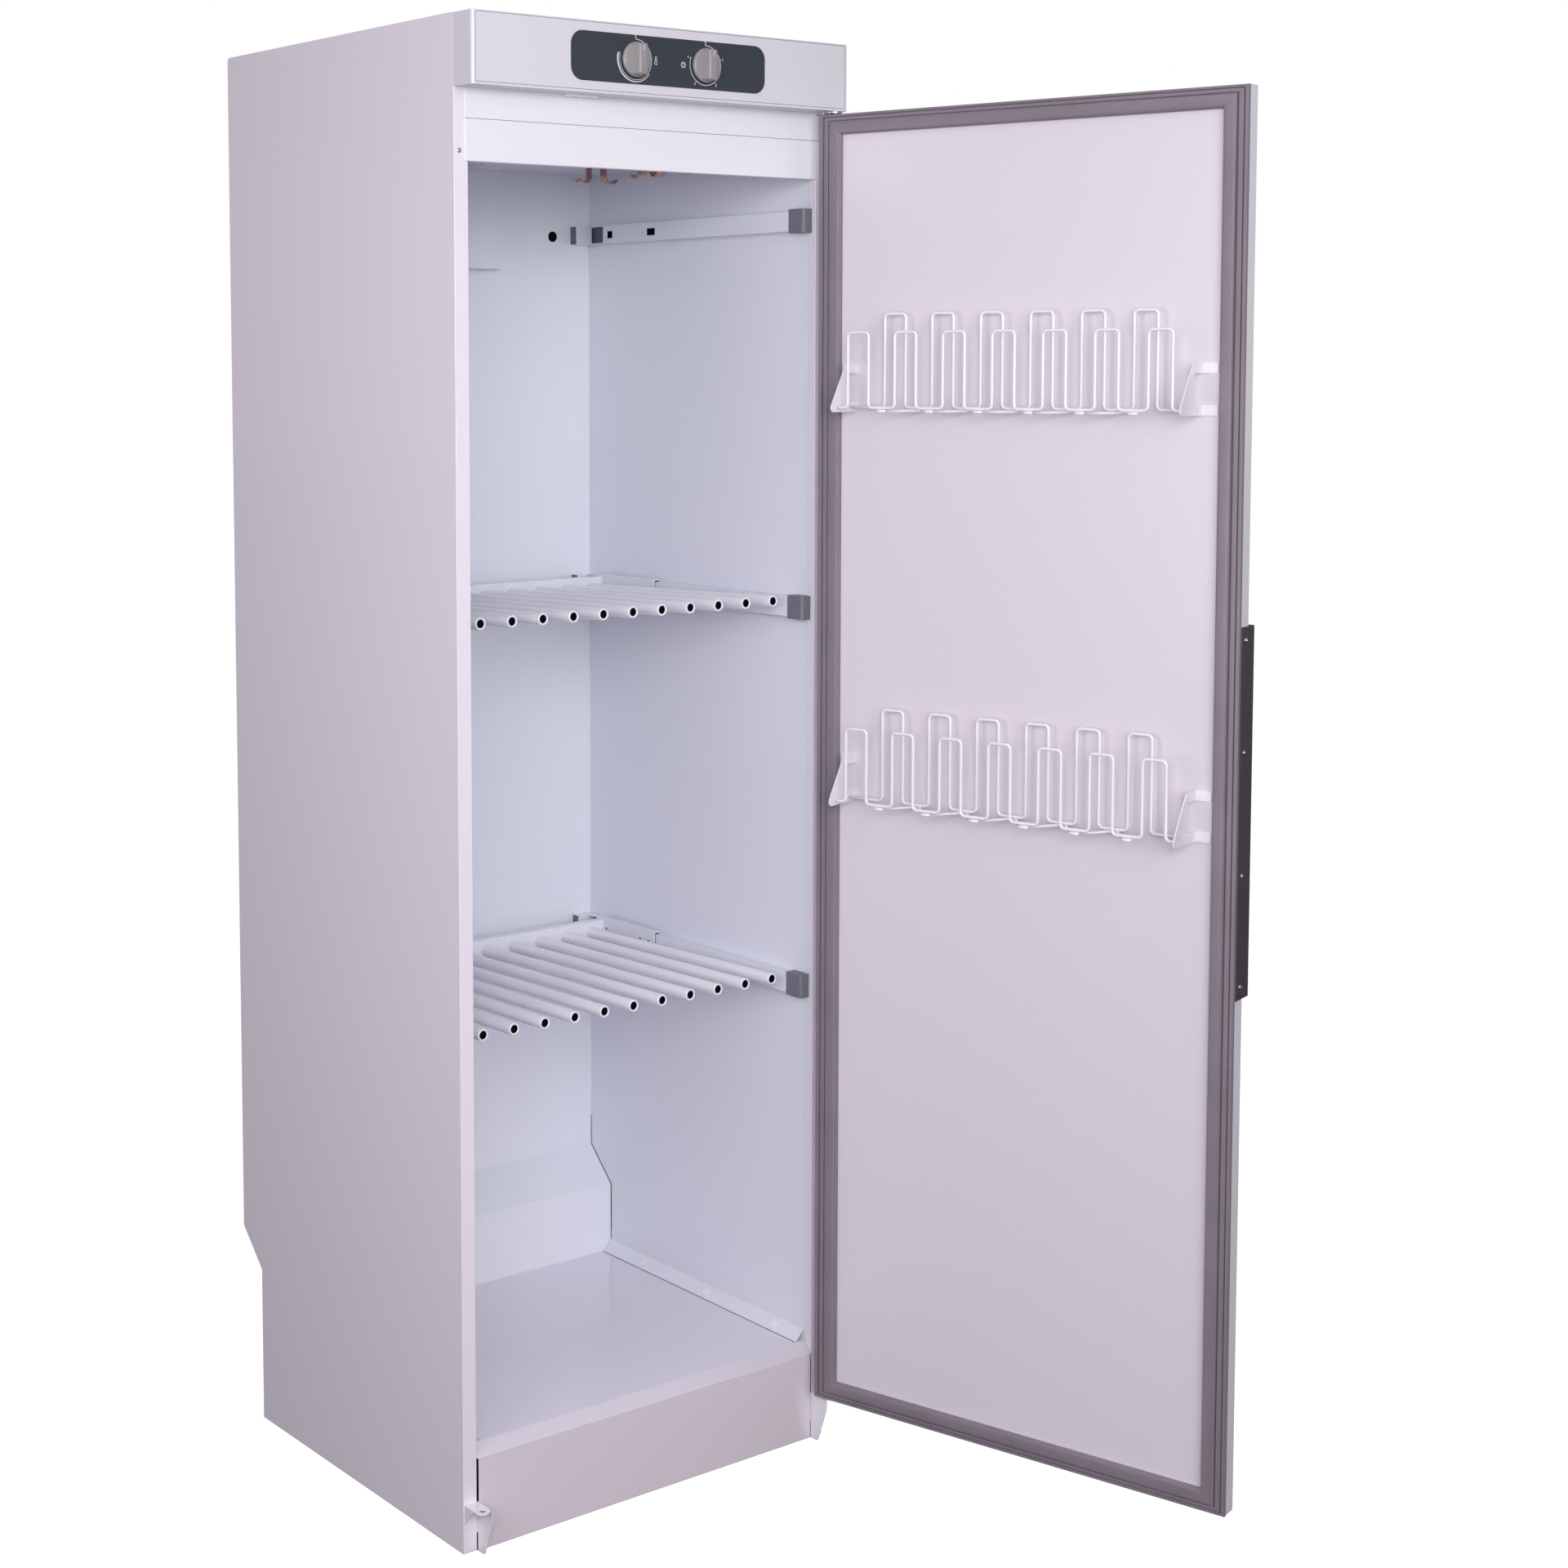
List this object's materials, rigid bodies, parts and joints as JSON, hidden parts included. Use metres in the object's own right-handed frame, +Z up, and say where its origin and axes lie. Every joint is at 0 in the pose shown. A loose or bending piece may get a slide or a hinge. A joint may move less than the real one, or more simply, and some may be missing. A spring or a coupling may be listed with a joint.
{
  "type": "drying cabinet",
  "caption": "Tall white sheet-metal drying cabinet with an open door, pull-out tube hangers, door racks and a top control panel.",
  "frame": {"origin": "middle of the base on the floor", "axes": "+Z up, +X to the right seen from the front, +Y towards the back"},
  "size_m": [0.7659, 1.1559, 1.945],
  "materials": {
    "white_paint": "gloss",
    "chamber_paint": "gloss",
    "door_paint": "gloss",
    "slate_plate": "satin",
    "handle_paint": "satin",
    "knob_plastic": "satin",
    "gasket_rubber": "matt",
    "stop_plastic": "matt",
    "zinc": "satin",
    "hook_zinc": "satin",
    "white_plastic": "gloss",
    "dark_plastic": "matt",
    "foam": "matt"
  },
  "bodies": {
    "cabinet": {"side_panel_left": "white_paint", "side_panel_right": "white_paint", "liner_left": "chamber_paint", "liner_right": "chamber_paint", "back_panel": "white_paint", "liner_back": "chamber_paint", "floor_tray": "chamber_paint", "base_plate": "white_paint", "top_panel": "white_paint", "ceiling_panel": "chamber_paint", "skirting_left": "chamber_paint", "skirting_right": "chamber_paint", "skirting_plugs": "white_plastic", "header_panel": "white_paint", "cover_panel": "white_paint", "fascia_housing": "white_paint", "fascia_front": "white_paint", "control_plate": "slate_plate", "timer_switch": "dark_plastic", "thermostat": "dark_plastic", "fan_housing": "zinc", "fan_motor": "dark_plastic", "heater_element": "zinc", "thermal_cutout": "white_plastic", "terminal_block": "white_plastic", "cable_inlet": "dark_plastic", "exhaust_spigot": "zinc", "air_duct_cover": "chamber_paint", "door_contact": "white_plastic", "ceiling_hooks": "hook_zinc", "wall_rails_left": "white_paint", "wall_rails_right": "white_paint", "rail_end_stops": "stop_plastic", "hinge_bracket_upper": "zinc", "hinge_bracket_lower": "white_paint", "hinge_bracket_spare": "white_paint", "hinge_pins": "zinc", "case_screws": "zinc"},
    "fan": {"fan_impeller": "dark_plastic"},
    "temperature_dial": {"temperature_knob": "knob_plastic"},
    "timer_dial": {"timer_knob": "knob_plastic"},
    "middle_hanger": {"middle_crossbar": "white_paint", "middle_tubes": "chamber_paint", "middle_carriages": "white_paint"},
    "lower_hanger": {"lower_crossbar": "white_paint", "lower_tubes": "chamber_paint", "lower_carriages": "white_paint"},
    "door": {"door_outer_panel": "door_paint", "door_core": "foam", "door_inner_panel": "door_paint", "door_gasket": "gasket_rubber", "door_handle": "handle_paint", "handle_screws": "zinc", "hinge_bushes": "dark_plastic", "upper_rack_front_wire": "door_paint", "upper_rack_back_wire": "door_paint", "lower_rack_front_wire": "door_paint", "lower_rack_back_wire": "door_paint", "rack_base_wires": "door_paint", "rack_brackets": "door_paint"}
  },
  "joints": [
    {"name": "door_hinge", "type": "hinge", "parent": "cabinet", "child": "door", "pos_m": [0.287, -0.3075, 0.94], "axis": [0, 0, 1], "range_deg": [-105.8, 14.2]},
    {"name": "fan_spin", "type": "hinge", "parent": "cabinet", "child": "fan", "pos_m": [0, 0.1495, 1.812], "axis": [0, 0, 1], "continuous": true},
    {"name": "temperature_turn", "type": "hinge", "parent": "cabinet", "child": "temperature_dial", "pos_m": [-0.0553, -0.3255, 1.856], "axis": [0, 1, 0], "range_deg": [0, 270]},
    {"name": "timer_turn", "type": "hinge", "parent": "cabinet", "child": "timer_dial", "pos_m": [0.0553, -0.3255, 1.856], "axis": [0, 1, 0], "range_deg": [0, 288]},
    {"name": "middle_hanger_slide", "type": "slide", "parent": "cabinet", "child": "middle_hanger", "axis": [0, -1, 0], "range_m": [0, 0.27]},
    {"name": "lower_hanger_slide", "type": "slide", "parent": "cabinet", "child": "lower_hanger", "axis": [0, -1, 0], "range_m": [0, 0.27]}
  ]
}
